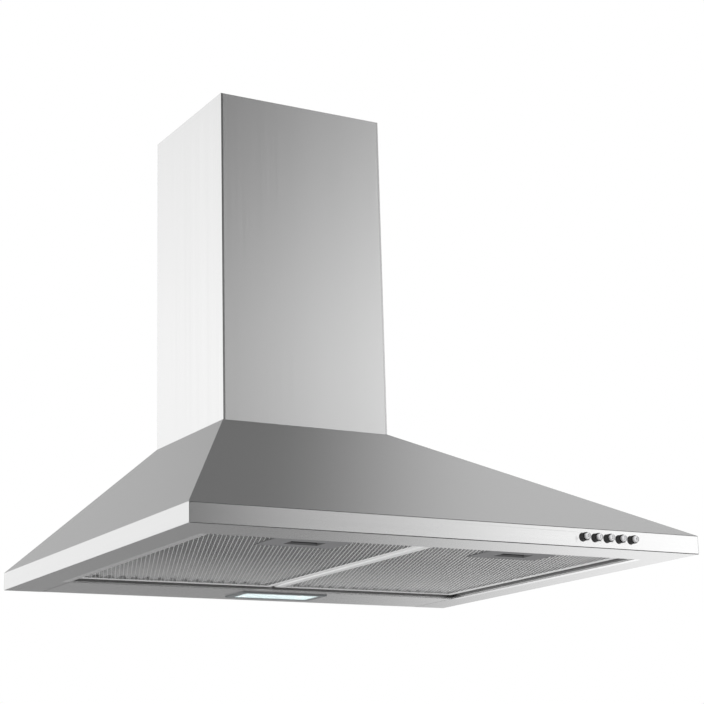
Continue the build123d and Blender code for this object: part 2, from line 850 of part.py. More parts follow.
def motor_screw_places():
    return ring_places(motor_screw_ring, spider_arms, 30.0)


def motor_bracket():
    """Three-armed spider across the left inlet."""
    face = Circle(spider_ring[1]) - Circle(spider_ring[0])
    face += Circle(motor_radius - 2)
    arm = Pos(sum(spider_ring) / 4 + 6, 0) * Rectangle(sum(spider_ring) / 2 - 12, spider_arm_width)
    for i in range(spider_arms):
        face += Rot(0, 0, 30.0 + i * 360.0 / spider_arms) * arm
    face -= Circle(shaft_radius + 2)
    plate = extrude(Plane.YZ * face, spider_sheet)
    plate = Pos(-scroll_outside - spider_sheet, fan_y, fan_z) * plate
    for y, z in spider_screw_places() + motor_screw_places():
        plate -= rod_x(screw_radius + screw_gap, (-scroll_outside - 5, -scroll_outside + 1), y, z)
    return plate


def inlet_guard():
    """Spoked finger guard on the right inlet."""
    face = Circle(inlet_radius + 7) - Circle(inlet_radius - 1)
    face += Circle(guard_ring[0]) - Circle(guard_ring[1])
    face += Circle(guard_hub_radius)
    spoke = Pos(inlet_radius / 2 + 4, 0) * Rectangle(inlet_radius - 6, guard_spoke_width)
    for i in range(guard_spokes):
        face += Rot(0, 0, i * 360.0 / guard_spokes) * spoke
    return Pos(scroll_outside, fan_y, fan_z) * extrude(Plane.YZ * face, guard_sheet)


# ---------------------------------------------------------------- duct adaptor and damper
def outlet_adaptor():
    """Flange on the plate, then a rectangle that becomes the duct's circle."""
    flange_top = plate_top + adaptor_wall
    y_low, y_high = outlet_y_range(0)
    width = 2 * scroll_half_width
    depth = y_high - y_low
    flange = block((-scroll_outside - outlet_rim, scroll_outside + outlet_rim), outlet_y_range(outlet_rim),
                   (plate_top, flange_top))
    round_start = Pos(0, duct_y, flange_top + adaptor_rise)
    foot = Pos(0, duct_y, flange_top)
    outer = loft([foot * Rectangle(width + 2 * adaptor_wall, depth + 2 * adaptor_wall),
                  round_start * Circle(duct_radius)])
    inner = loft([foot * Rectangle(width, depth), round_start * Circle(duct_radius - adaptor_wall)])
    spigot = rod_z(duct_radius, 0, duct_y, (flange_top + adaptor_rise, adaptor_top))
    bore = rod_z(duct_radius - adaptor_wall, 0, duct_y, (flange_top + adaptor_rise, adaptor_top + 1))
    hole = block((-width / 2, width / 2), (y_low, y_high), (plate_top - 1, flange_top))
    adaptor = (flange + outer + spigot) - inner - bore - hole
    for x, y in outlet_screw_places():
        adaptor -= screw_hole(x, y, (plate_top - 1, flange_top + 1))
    return adaptor


def damper_collar():
    """Ring that the 120 mm duct slides over, with a bead below and a stop ledge inside."""
    ring = rod_z(duct_radius, 0, duct_y, (adaptor_top, collar_top))
    ring += rod_z(duct_radius + collar_bead, 0, duct_y, (adaptor_top, adaptor_top + 2))
    ring -= rod_z(collar_inner, 0, duct_y, (adaptor_top - 1, collar_top + 1))
    ledge_top = damper_z - flap_sheet / 2 - fit_gap
    ledge = rod_z(collar_inner + 0.3, 0, duct_y, (ledge_top - 2, ledge_top))
    ledge -= rod_z(collar_inner - stop_ledge, 0, duct_y, (ledge_top - 3, ledge_top + 1))
    ledge -= block((-duct_radius, duct_radius), (duct_y - 5, duct_y + 5), (ledge_top - 3, ledge_top + 1))
    ring += ledge
    across = (-duct_radius - 1, duct_radius + 1)
    return ring - rod_x(damper_pin_radius + running_gap, across, duct_y, damper_z)


def damper_pin():
    return rod_x(damper_pin_radius, (-duct_radius + 0.5, duct_radius - 0.5), duct_y, damper_z)


def damper_flap(side):
    """Half-moon flap on every second knuckle of the pin."""
    straight = knuckle_radius + 0.4
    half_moon = Circle(collar_inner - flap_edge_gap)
    reach = duct_radius
    half_moon &= Pos(0, side * (straight + reach / 2)) * Rectangle(2 * reach, reach)
    flap = Pos(0, 0, -flap_sheet / 2) * extrude(half_moon, flap_sheet)
    pitch = knuckle_length + 1.0
    first = -(knuckle_count * pitch - 1.0) / 2
    for i in range(knuckle_count):
        if (i % 2 == 0) != (side > 0):
            continue
        x_range = (first + i * pitch, first + i * pitch + knuckle_length)
        flap += rod_x(knuckle_radius, x_range, 0, 0)
        flap += block(x_range, (0, side * (straight + 1)), (-flap_sheet / 2, flap_sheet / 2))
    flap -= rod_x(damper_pin_radius + running_gap, (-duct_radius, duct_radius), 0, 0)
    return Pos(0, duct_y, damper_z) * flap


# ---------------------------------------------------------------- electrical pieces
def run_capacitor():
    x, y = capacitor_place
    bottom = plate_bottom - capacitor_length - 2
    can = rod_z(capacitor_radius, x, y, (bottom, bottom + capacitor_length))
    can = fillet(can.edges(), 1.5)
    return can + rod_z(capacitor_stud_radius, x, y, (bottom + capacitor_length - 1, plate_top + 7))


def capacitor_nut():
    x, y = capacitor_place
    nut = extrude(RegularPolygon(7.5, 6), 4.5)
    return Pos(x, y, plate_top) * nut - rod_z(capacitor_stud_radius + screw_gap, x, y,
                                              (plate_top - 1, plate_top + 6))


def terminal_ranges():
    x_low = scroll_outside + outlet_rim + 2
    y_range = (terminal_box_rear - terminal_box_length, terminal_box_rear)
    return (x_low, neck_half - 2), y_range, (plate_bottom - terminal_box_height, plate_bottom)


def terminal_box():
    x_range, y_range, z_range = terminal_ranges()
    box_solid = block(x_range, y_range, z_range)
    box_solid = fillet(box_solid.edges().filter_by(Axis.Z), terminal_corner)
    room = block((x_range[0] + box_wall, x_range[1] - box_wall),
                 (y_range[0] + box_wall, y_range[1] - box_wall), (z_range[0] - 1, z_range[1] - box_wall))
    return box_solid - room


def terminal_box_lid():
    x_range, y_range, z_range = terminal_ranges()
    lid = block(x_range, y_range, (z_range[0] - box_wall, z_range[0]))
    lid = fillet(lid.edges().filter_by(Axis.Z), terminal_corner)
    inner = box_wall + fit_gap
    lip = block((x_range[0] + inner, x_range[1] - inner), (y_range[0] + inner, y_range[1] - inner),
                (z_range[0] - 0.5, z_range[0] + 4))
    lip -= block((x_range[0] + inner + 1.5, x_range[1] - inner - 1.5),
                 (y_range[0] + inner + 1.5, y_range[1] - inner - 1.5), (z_range[0], z_range[0] + 5))
    return lid + lip


def cable_gland():
    """Gland for the mains lead, with an open bore from end to end."""
    x, y = gland_place
    body = rod_z(gland_bore_radius + 3.5, x, y, (plate_bottom - 6, plate_top + 12))
    body += rod_z(gland_bore_radius + 7.5, x, y, (plate_top, plate_top + 2.5))
    body += rod_z(gland_bore_radius + 5.0, x, y, (plate_top + 2, plate_top + 12))
    top_edge = body.edges().group_by(Axis.Z)[-1]
    body = fillet(top_edge, 2.5)
    return body - rod_z(gland_bore_radius, x, y, (plate_bottom - 7, plate_top + 17))


def screws_down(places, z, length):
    return Compound([Pos(x, y, z) * hex_screw(length) for x, y in places])


def volute_screws():
    """Through the lugs, along the wheel's axis, with the heads on the right."""
    screw = Rot(0, 90, 0) * hex_screw(9.0)
    return Compound([Pos(4, y, z) * screw for y, z in lug_places()])


def motor_screws():
    screw = Rot(0, -90, 0) * hex_screw(spider_sheet + 4.0)
    face_x = -scroll_outside - spider_sheet
    return Compound([Pos(face_x, y, z) * screw for y, z in spider_screw_places() + motor_screw_places()])


# ---------------------------------------------------------------- the assembly
def make_parts():
    parts = {
        "canopy_shell": canopy_shell(),
        "back_panel": back_panel(),
        "rear_panel": rear_panel(),
        "centre_rail": centre_rail(),
        "lower_chimney_cover": lower_chimney_cover(),
        "upper_chimney_cover": upper_chimney_cover(),
        "upper_wall_bracket": upper_wall_bracket(),
        "lower_wall_bracket": lower_wall_bracket(),
        "blower_mount_plate": blower_mount_plate(),
        "volute_left": volute_half(-1),
        "volute_right": volute_half(1),
        "impeller": impeller(),
        "motor_shaft": motor_shaft(),
        "motor_body": motor_body(),
        "motor_bracket": motor_bracket(),
        "inlet_guard": inlet_guard(),
        "outlet_adaptor": outlet_adaptor(),
        "damper_collar": damper_collar(),
        "damper_pin": damper_pin(),
        "damper_flap_front": damper_flap(-1),
        "damper_flap_rear": damper_flap(1),
        "run_capacitor": run_capacitor(),
        "capacitor_nut": capacitor_nut(),
        "terminal_box": terminal_box(),
        "terminal_box_lid": terminal_box_lid(),
        "cable_gland": cable_gland(),
        "switch_block": switch_block(),
        "lamp_bezel": lamp_bezel(),
        "lamp_lens": lamp_lens(),
        "lamp_reflector": lamp_reflector(),
        "led_board": led_board(),
        "lamp_housing": lamp_housing(),
        "plate_screws": screws_down(plate_screw_places(), plate_top, 8.0),
        "outlet_screws": screws_down(outlet_screw_places(), plate_top + adaptor_wall, 9.0),
        "volute_screws": volute_screws(),
        "motor_screws": motor_screws(),
    }
    for name, side in (("left", -1), ("right", 1)):
        parts["filter_frame_" + name] = filter_frame(side)
        parts["filter_net_" + name] = filter_net(side)
        parts["filter_pack_" + name] = filter_pack(side)
        parts["handle_plate_" + name] = handle_plate(side)
        parts["latch_" + name] = latch(side)
        parts["latch_spring_" + name] = latch_spring(side)
    for i in range(button_count):
        parts["push_button_" + str(i + 1)] = push_button(i)
    return parts


os.makedirs("parts", exist_ok=True)
to_origin = Location((0, 0, -wall_screw_height))
for node, solid in make_parts().items():
    export_step(solid.moved(to_origin), "parts/" + node + ".step")
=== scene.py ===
import bpy
import bmesh
import math
from mathutils import Matrix, Vector


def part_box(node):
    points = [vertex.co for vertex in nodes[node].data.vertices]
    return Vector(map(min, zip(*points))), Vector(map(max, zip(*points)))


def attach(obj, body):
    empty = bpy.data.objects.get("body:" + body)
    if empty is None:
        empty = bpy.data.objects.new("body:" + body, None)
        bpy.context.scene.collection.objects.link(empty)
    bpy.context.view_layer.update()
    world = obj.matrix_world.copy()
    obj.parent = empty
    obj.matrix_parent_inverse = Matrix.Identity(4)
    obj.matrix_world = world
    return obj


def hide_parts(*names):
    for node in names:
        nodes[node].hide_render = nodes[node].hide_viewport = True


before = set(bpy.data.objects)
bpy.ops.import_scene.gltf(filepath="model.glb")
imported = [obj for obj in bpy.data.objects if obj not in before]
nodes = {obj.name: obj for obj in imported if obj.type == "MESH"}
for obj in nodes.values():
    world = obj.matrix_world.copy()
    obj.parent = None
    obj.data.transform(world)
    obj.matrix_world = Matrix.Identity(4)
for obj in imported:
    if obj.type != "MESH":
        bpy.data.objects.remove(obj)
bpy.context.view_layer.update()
scene = bpy.context.scene
scene.view_settings.view_transform = "Standard"
hoodLow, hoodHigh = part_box("canopy_shell")
print("frame loaded with", len(nodes), "nodes")

millimetre = 0.001
white = (1, 1, 1, 1)
bumpDistance = 0.2 * millimetre


def linkPiece(name, data):
    piece = bpy.data.objects.new(name, data)
    scene.collection.objects.link(piece)
    return piece


# the photographer's place: angles in degrees, lengths in metres from the underside's rear centre
cameraView = {
    "azimuth": 29.93,
    "elevation": 14.67,
    "roll": -1.52,
    "place": (-0.97299, -1.98733, -0.26609),
    "focalPixels": 1787.5,
    "framePixels": 704,
    "sensor": 36.0,
    "clip": (0.05, 60),
}


def makeCamera(view):
    azimuth, elevation, roll = (math.radians(view[k]) for k in ("azimuth", "elevation", "roll"))
    ahead = Vector((math.sin(azimuth) * math.cos(elevation),
                    math.cos(azimuth) * math.cos(elevation),
                    math.sin(elevation)))
    level = Vector((math.cos(azimuth), -math.sin(azimuth), 0))
    over = level.cross(ahead)
    right = math.cos(roll) * level + math.sin(roll) * over
    up = -math.sin(roll) * level + math.cos(roll) * over
    data = bpy.data.cameras.new("photographer")
    data.sensor_width = view["sensor"]
    data.lens = view["sensor"] * view["focalPixels"] / view["framePixels"]
    data.clip_start, data.clip_end = view["clip"]
    camera = linkPiece("photographer", data)
    turn = Matrix((right, up, -ahead)).transposed().to_4x4()
    place = Vector(view["place"]) + Vector((0, 0, hoodLow.z))
    camera.matrix_world = Matrix.Translation(place) @ turn
    scene.camera = camera


# node helpers
def addNode(tree, kind, **settings):
    node = tree.nodes.new(kind)
    for key, value in settings.items():
        setattr(node, key, value)
    return node


def feed(tree, socket, value):
    # a number is set on the socket, anything else is linked to it
    if isinstance(value, (int, float)):
        socket.default_value = value
    else:
        tree.links.new(value, socket)


def mathNode(tree, operation, *values):
    node = addNode(tree, "ShaderNodeMath", operation=operation)
    for socket, value in zip(node.inputs, values):
        feed(tree, socket, value)
    return node.outputs[0]


def smoothStep(tree, value, span, low=0.0, high=1.0):
    node = addNode(tree, "ShaderNodeMapRange", interpolation_type="SMOOTHSTEP")
    tree.links.new(value, node.inputs["Value"])
    settings = zip(("From Min", "From Max", "To Min", "To Max"), (*span, low, high))
    for key, setting in settings:
        node.inputs[key].default_value = setting
    return node.outputs["Result"]


def mixFloat(tree, factor, first, second):
    node = addNode(tree, "ShaderNodeMix", data_type="FLOAT")
    for socket, value in zip(node.inputs[0:1] + node.inputs[2:4], (factor, first, second)):
        feed(tree, socket, value)
    return node.outputs[0]


def separate(tree, value):
    node = addNode(tree, "ShaderNodeSeparateXYZ")
    tree.links.new(value, node.inputs[0])
    return node.outputs


def addSockets(group, side, kind, names):
    for name in names:
        group.interface.new_socket(name=name, in_out=side, socket_type="NodeSocket" + kind)


def addBump(tree, shader, height, strength):
    bump = addNode(tree, "ShaderNodeBump")
    bump.inputs["Strength"].default_value = strength
    bump.inputs["Distance"].default_value = bumpDistance
    tree.links.new(height, bump.inputs["Height"])
    tree.links.new(bump.outputs[0], shader.inputs["Normal"])


def newMaterial(name, color, metallic, roughness):
    material = bpy.data.materials.new(name)
    material.use_nodes = True
    shader = material.node_tree.nodes["Principled BSDF"]
    shader.inputs["Base Color"].default_value = (*color, 1)
    shader.inputs["Metallic"].default_value = metallic
    shader.inputs["Roughness"].default_value = roughness
    return material, material.node_tree, shader


# the studio, by the direction that a surface mirrors: front and underside brighten to the right,
# pale walls stand at the left and back, and two dark gaps lie overhead and below
studio = {
    "level": 0.95,
    "levelBelow": 0.66,
    "frontShade": 0.06,
    "frontStep": 0.62,
    "frontWall": 1.25,
    "frontBand": 1.66,
    "frontTop": 0.38,
    "frontFill": 0.52,
    "frontLeft": 0.42,
    "frontHigh": 0.52,
    "highLeft": 0.60,
    "underShade": 0.22,
    "underShadeRear": 0.62,
    "underWall": 1.42,
    "underRear": 0.78,
    "backWall": 0.66,
    "backLeft": 0.52,
    "sideWall": 1.28,
    "sideWallLow": 1.70,
    "lowWall": 1.30,
    "notch": 0.76,
    "farRight": 0.50,
    "farLeft": 0.70,
    "farLeftHigh": 1.25,
    "ceiling": 0.35,
    "deepBelow": 0.74,
    "gapTone": 0.04,
    "floorDrop": 2.60,
    "floorSize": 24.0,
    "floorTone": (0.90, 0.90, 0.90),
    "floorRoughness": 0.9,
    "floorGlow": 0.50,
}

# where those tones change: spans of the mirrored direction, by its x, y or z
studioSpans = {
    "frontLift": (0.17, 0.24),
    "frontStep": (0.406, 0.475),
    "frontWall": (0.49, 0.65),
    "frontBand": (0.15, 0.23),
    "frontTop": (0.22, 0.43),
    "bandEnd": (0.54, 0.62),
    "highStart": (0.60, 0.74),
    "frontHigh": (0.22, 0.34),
    "frontFill": (-0.04, 0.27),
    "frontLeft": (-0.65, -0.35),
    "underLift": (-0.15, -0.08),
    "underWall": (0.442, 0.65),
    "underRear": (-0.15, -0.10),
    "lowWall": (-0.15, 0.15),
    "sideWall": (-0.34, -0.08),
    "sideWallUp": (0.12, 0.36),
    "backWall": (0.25, 0.50),
    "notchLeft": (0.10, 0.30),
    "notchRight": (0.44, 0.56),
    "notchUp": (0.36, 0.50),
    "rearUp": (0.14, 0.36),
    "rear": (-0.30, 0.30),
    "deepBelow": (-0.50, -0.36),
    "farLeftUp": (0.08, 0.14),
    "farLeft": (-0.85, -0.55),
    "farRight": (0.68, 0.90),
    "highLeftUp": (0.36, 0.50),
    "highLeft": (-0.34, -0.12),
    "ceiling": (0.62, 0.95),
    "overAway": (0.28, 0.48),
    "overUp": (0.50, 0.68),
    "belowAway": (0.45, 0.72),
    "belowUp": (-0.52, -0.34),
    "gapRight": (0.12, 0.34),
    "soft": (-0.6, 0.6),
}
# the wall's edges lean: they move along x with height
frontLean, underLean = 0.019, 0.075
# the gaps' middles along y
overMiddle, belowMiddle = -0.22, -0.10


def makeWorld(look, spans):
    world = bpy.data.worlds.new("studio")
    scene.world = world
    world.use_nodes = True
    tree = world.node_tree
    tree.nodes.clear()

    def times(first, second):
        return mathNode(tree, "MULTIPLY", first, second)

    def plus(first, second):
        return mathNode(tree, "ADD", first, second)

    def rise(value, span, low=0.0, high=1.0):
        return smoothStep(tree, value, spans[span], low, high)

    def fall(value, span):
        return rise(value, span, 1.0, 0.0)

    def mix(factor, first, second):
        return mixFloat(tree, factor, first, second)

    def background(strength):
        node = addNode(tree, "ShaderNodeBackground")
        node.inputs["Color"].default_value = white
        tree.links.new(strength, node.inputs["Strength"])
        return node.outputs[0]

    x, y, z = separate(tree, addNode(tree, "ShaderNodeTexCoord").outputs["Generated"])
    higher = plus(x, rise(z, "frontLift", 0.0, frontLean))
    shade = look["frontShade"]
    front = plus(rise(higher, "frontStep", shade, shade + look["frontStep"]),
                 rise(x, "frontWall", 0.0, look["frontWall"]))
    band = times(rise(z, "frontBand", 1.0, look["frontBand"]),
                 rise(z, "frontTop", 1.0, look["frontTop"]))
    # the band ends towards the right, and the far right is darker high up
    band = mix(rise(x, "bandEnd"), band, 1.0)
    band = mix(rise(x, "highStart"), band, rise(z, "frontHigh", 1.0, look["frontHigh"]))
    fill = plus(rise(x, "frontFill", look["frontFill"], 0.0),
                rise(x, "frontLeft", look["frontLeft"], 0.0))
    front = plus(times(front, band), fill)
    # underside: the same wall seen from lower down starts further left and stays softer
    along = plus(x, rise(z, "underLift", 0.0, underLean))
    under = mix(rise(along, "underWall"),
                rise(z, "underRear", look["underShade"], look["underShadeRear"]),
                rise(z, "underRear", look["underWall"], look["underRear"]))
    under = mix(rise(x, "lowWall"), look["lowWall"], under)
    upper = mix(rise(x, "sideWall"),
                rise(z, "sideWallUp", look["sideWallLow"], look["sideWall"]),
                rise(x, "backWall", look["backLeft"], look["backWall"]))
    notch = times(times(rise(x, "notchLeft"), fall(x, "notchRight")), rise(z, "notchUp"))
    upper = mix(times(notch, look["notch"]), upper, 0.0)
    tone = mix(rise(y, "rear"), front, mix(rise(z, "rearUp"), under, upper))
    tone = mix(fall(z, "deepBelow"), tone, look["deepBelow"])
    # both side walls fall off towards their far ends, and the left one high up
    farLeft = rise(z, "farLeftUp", look["farLeft"], look["farLeftHigh"])
    farLeft = mix(rise(x, "farLeft"), farLeft, 1.0)
    tone = times(tone, times(rise(x, "farRight", 1.0, look["farRight"]), farLeft))
    highLeft = mix(rise(x, "highLeft"), rise(z, "highLeftUp", 1.0, look["highLeft"]), 1.0)
    tone = plus(times(tone, highLeft), rise(z, "ceiling", 0.0, look["ceiling"]))
    # the gaps overhead and below draw the thin dark lines along the folds
    overAway = mathNode(tree, "ABSOLUTE", plus(y, -overMiddle))
    belowAway = mathNode(tree, "ABSOLUTE", plus(y, -belowMiddle))
    gaps = plus(times(fall(overAway, "overAway"), rise(z, "overUp")),
                times(fall(belowAway, "belowAway"), fall(z, "belowUp")))
    tone = mix(times(gaps, rise(x, "gapRight")), tone, look["gapTone"])
    # the white backdrop: plain to the camera and through glass, graded by the walls in metal
    path = addNode(tree, "ShaderNodeLightPath").outputs
    backdrop = background(mix(path["Is Glossy Ray"], 1.0, tone))
    soft = background(rise(z, "soft", look["levelBelow"], look["level"]))
    seen = mathNode(tree, "MAXIMUM", path["Is Camera Ray"], path["Is Transmission Ray"])
    seen = mathNode(tree, "MAXIMUM", seen, path["Is Glossy Ray"])
    blend = addNode(tree, "ShaderNodeMixShader")
    for value, socket in zip((seen, soft, backdrop), blend.inputs):
        tree.links.new(value, socket)
    output = addNode(tree, "ShaderNodeOutputWorld")
    tree.links.new(blend.outputs[0], output.inputs[0])


def makeFloor(look):
    half = look["floorSize"] / 2
    height = hoodLow.z - look["floorDrop"]
    mesh = bpy.data.meshes.new("floor")
    mesh.from_pydata([(-half, -half, height), (half, -half, height),
                      (half, half, height), (-half, half, height)], [], [(0, 1, 2, 3)])
    floor = linkPiece("floor", mesh)
    material, tree, shader = newMaterial("paleFloor", look["floorTone"], 0.0,
                                         look["floorRoughness"])
    shader.inputs["Emission Color"].default_value = white
    seen = addNode(tree, "ShaderNodeLightPath").outputs["Is Camera Ray"]
    glow = mathNode(tree, "MULTIPLY", seen, look["floorGlow"])
    tree.links.new(glow, shader.inputs["Emission Strength"])
    mesh.materials.append(material)
    floor.visible_glossy = False


makeCamera(cameraView)
makeWorld(studio, studioSpans)
makeFloor(studio)
print("studio ready")


# fine grain, broad grain and smudges for every finish: noise scale and detail of each
grainLayers = {"Fine": (1.0, 2), "Broad": (0.12, 2), "Smudge": (0.004, 3)}


def makeGrainGroup():
    group = bpy.data.node_groups.new("brushGrain", "ShaderNodeTree")
    addSockets(group, "INPUT", "Vector", ["Vector"])
    addSockets(group, "INPUT", "Float", grainLayers)
    addSockets(group, "OUTPUT", "Float", ["Shade", "Height"])
    start, end = addNode(group, "NodeGroupInput"), addNode(group, "NodeGroupOutput")
    shade = 1.0
    for name, (scale, detail) in grainLayers.items():
        noise = addNode(group, "ShaderNodeTexNoise")
        noise.inputs["Scale"].default_value = scale
        noise.inputs["Detail"].default_value = detail
        group.links.new(start.outputs["Vector"], noise.inputs["Vector"])
        centred = mathNode(group, "SUBTRACT", noise.outputs[0], 0.5)
        shade = mathNode(group, "ADD", shade,
                         mathNode(group, "MULTIPLY", centred, start.outputs[name]))
        if name == "Fine":
            group.links.new(noise.outputs[0], end.inputs["Height"])
    group.links.new(shade, end.inputs["Shade"])
    return group


grainGroup = makeGrainGroup()


def grainedMaterial(name, look):
    material, tree, shader = newMaterial(name, look["color"], look["metallic"], look["roughness"])
    if "specular" in look:
        shader.inputs["Specular IOR Level"].default_value = look["specular"]
    coords = addNode(tree, "ShaderNodeTexCoord").outputs
    shades = []
    heights = []
    for stretch in look["grains"]:
        scaled = addNode(tree, "ShaderNodeVectorMath", operation="MULTIPLY")
        tree.links.new(coords["Object"], scaled.inputs[0])
        scaled.inputs[1].default_value = stretch
        grain = addNode(tree, "ShaderNodeGroup", node_tree=grainGroup)
        tree.links.new(scaled.outputs[0], grain.inputs["Vector"])
        for key in grainLayers:
            grain.inputs[key].default_value = look[key.lower()]
        shades.append(grain.outputs["Shade"])
        heights.append(grain.outputs["Height"])
    shade, height = shades[0], heights[0]
    sideways = 0.0
    if len(shades) > 1:
        # the second grain lies on the faces that look left or right
        away = mathNode(tree, "ABSOLUTE", separate(tree, coords["Normal"])["X"])
        sideways = mathNode(tree, "GREATER_THAN", away, 0.5)
        shade = mixFloat(tree, sideways, *shades)
        height = mixFloat(tree, sideways, *heights)
    tint = addNode(tree, "ShaderNodeVectorMath", operation="SCALE")
    tint.inputs[0].default_value = look["color"]
    tree.links.new(shade, tint.inputs["Scale"])
    tree.links.new(tint.outputs[0], shader.inputs["Base Color"])
    if "stretch" in look:
        # a brushed face stretches what it mirrors across its grain
        shader.inputs["Anisotropic"].default_value = look["stretch"]
        across = addNode(tree, "ShaderNodeMix", data_type="VECTOR")
        across.inputs[4].default_value = look["across"][0]
        across.inputs[5].default_value = look["across"][-1]
        feed(tree, across.inputs[0], sideways)
        tree.links.new(across.outputs[1], shader.inputs["Tangent"])
    rough = mathNode(tree, "MULTIPLY", shade, look["roughness"])
    tree.links.new(rough, shader.inputs["Roughness"])
    addBump(tree, shader, height, look["bump"])
    return material


# how finely the grain repeats along x, y and z, and the direction across each grain
alongX = (4, 1500, 1500)
alongY = (1500, 4, 1500)
alongZ = (1500, 1500, 4)
allWays = (700, 700, 700)
acrossX = (0, 0.6, 0.8)
acrossY = (0.6, 0, 0.8)
acrossZ = (0.8, 0.6, 0)

surfaceLooks = {
    "canopySteel": {
        "color": (0.60, 0.60, 0.60), "metallic": 0.95, "roughness": 0.22,
        "grains": (alongX, alongY), "stretch": 0.6, "across": (acrossX, acrossY),
        "fine": 0.10, "broad": 0.05, "smudge": 0.04, "bump": 0.06,
    },
    "chimneySteel": {
        "color": (0.66, 0.66, 0.66), "metallic": 0.95, "roughness": 0.23,
        "grains": (alongZ,), "stretch": 0.4, "across": (acrossZ,),
        "fine": 0.10, "broad": 0.05, "smudge": 0.04, "bump": 0.06,
    },
    "zincSheet": {
        "color": (0.60, 0.61, 0.62), "metallic": 0.9, "roughness": 0.42,
        "grains": (allWays,),
        "fine": 0.06, "broad": 0.10, "smudge": 0.10, "bump": 0.05,
    },
    "rearSteel": {
        "color": (0.64, 0.64, 0.64), "metallic": 0.95, "roughness": 0.22,
        "grains": (alongX,), "stretch": 0.6, "across": (acrossX,),
        "fine": 0.10, "broad": 0.05, "smudge": 0.04, "bump": 0.06,
    },
    "filterSteel": {
        "color": (0.86, 0.86, 0.86), "metallic": 0.55, "roughness": 0.36,
        "grains": (alongX, alongY), "stretch": 0.5, "across": (acrossX, acrossY),
        "fine": 0.06, "broad": 0.04, "smudge": 0.03, "bump": 0.04,
    },
    "filterNet": {
        "color": (0.93, 0.93, 0.93), "metallic": 0.9, "roughness": 0.29,
        "grains": (allWays,),
        "fine": 0.10, "broad": 0.06, "smudge": 0.05, "bump": 0.05,
    },
    # the pack's aluminium is painted nearly black and almost without gloss: painted shade inside
    # the filter
    "packFoilPaintedShade": {
        "color": (0.045, 0.045, 0.047), "metallic": 0.0, "roughness": 0.80,
        "grains": (allWays,), "specular": 0.0,
        "fine": 0.12, "broad": 0.10, "smudge": 0.05, "bump": 0.10,
    },
    "handleGrey": {
        "color": (0.18, 0.18, 0.185), "metallic": 0.0, "roughness": 0.65,
        "grains": (allWays,),
        "fine": 0.10, "broad": 0.06, "smudge": 0.05, "bump": 0.10,
    },
    "motorMetal": {
        "color": (0.52, 0.53, 0.54), "metallic": 0.85, "roughness": 0.45,
        "grains": (allWays,),
        "fine": 0.06, "broad": 0.08, "smudge": 0.08, "bump": 0.15,
    },
    "screwMetal": {
        "color": (0.55, 0.55, 0.55), "metallic": 1.0, "roughness": 0.35,
        "grains": (allWays,),
        "fine": 0.08, "broad": 0.05, "smudge": 0.0, "bump": 0.05,
    },
    "mirrorSheet": {
        "color": (0.85, 0.87, 0.88), "metallic": 1.0, "roughness": 0.12,
        "grains": (allWays,),
        "fine": 0.03, "broad": 0.03, "smudge": 0.0, "bump": 0.02,
    },
    "blackPlastic": {
        "color": (0.030, 0.030, 0.032), "metallic": 0.0, "roughness": 0.48,
        "grains": (allWays,),
        "fine": 0.20, "broad": 0.10, "smudge": 0.10, "bump": 0.20,
    },
    # the latch is black plastic, made nearly black and almost without gloss as painted shade of
    # the finger slot too
    "latchBlackAndSlotShade": {
        "color": (0.012, 0.012, 0.013), "metallic": 0.0, "roughness": 0.60,
        "grains": (allWays,), "specular": 0.1,
        "fine": 0.15, "broad": 0.10, "smudge": 0.05, "bump": 0.15,
    },
    "wheelPlastic": {
        "color": (0.055, 0.056, 0.060), "metallic": 0.0, "roughness": 0.45,
        "grains": (allWays,),
        "fine": 0.20, "broad": 0.10, "smudge": 0.10, "bump": 0.15,
    },
    "greyPlastic": {
        "color": (0.33, 0.34, 0.35), "metallic": 0.0, "roughness": 0.50,
        "grains": (allWays,),
        "fine": 0.10, "broad": 0.06, "smudge": 0.06, "bump": 0.15,
    },
    "capacitorShell": {
        "color": (0.72, 0.72, 0.69), "metallic": 0.0, "roughness": 0.40,
        "grains": (allWays,),
        "fine": 0.06, "broad": 0.04, "smudge": 0.05, "bump": 0.05,
    },
    "buttonGloss": {
        "color": (0.010, 0.010, 0.011), "metallic": 0.0, "roughness": 0.16,
        "grains": (allWays,),
        "fine": 0.10, "broad": 0.05, "smudge": 0.0, "bump": 0.02,
    },
    "capMetal": {
        "color": (0.70, 0.70, 0.71), "metallic": 0.6, "roughness": 0.34,
        "grains": (allWays,),
        "fine": 0.05, "broad": 0.03, "smudge": 0.0, "bump": 0.03,
    },
    "markPaint": {
        "color": (0.10, 0.10, 0.11), "metallic": 0.0, "roughness": 0.50,
        "grains": (allWays,),
        "fine": 0.08, "broad": 0.05, "smudge": 0.0, "bump": 0.05,
    },
    "bezelPlastic": {
        "color": (0.15, 0.16, 0.165), "metallic": 0.0, "roughness": 0.42,
        "grains": (allWays,),
        "fine": 0.08, "broad": 0.05, "smudge": 0.05, "bump": 0.10,
    },
}
finishes = {name: grainedMaterial(name, look) for name, look in surfaceLooks.items()}

# painted shade: dark lines along the folds and at the front corners stand in for the dark studio
# mirrored there, painted shade darkens the turned edges deep in the openings, and a painted
# highlight brightens the border beside the filters
paintedShadeAndSeams = {
    "width": 1.2 * millimetre,
    "depth": 0.55,
    "farCornerPaintedShade": 0.12,
    "foldWidth": 0.8 * millimetre,
    "foldPaintedShade": 0.35,
    "fasciaHeight": 20.0 * millimetre,
    "openingReach": 14.0 * millimetre,
    "openingPaintedShade": 0.68,
    "openingLight": 1.8 * millimetre,
    "frameGap": 2.5 * millimetre,
    "border": 11.0 * millimetre,
    "borderPaintedHighlight": 0.42,
    "seamWidth": 1.3 * millimetre,
    "seamDepth": 0.45,
    "facingLimit": 0.8,
}


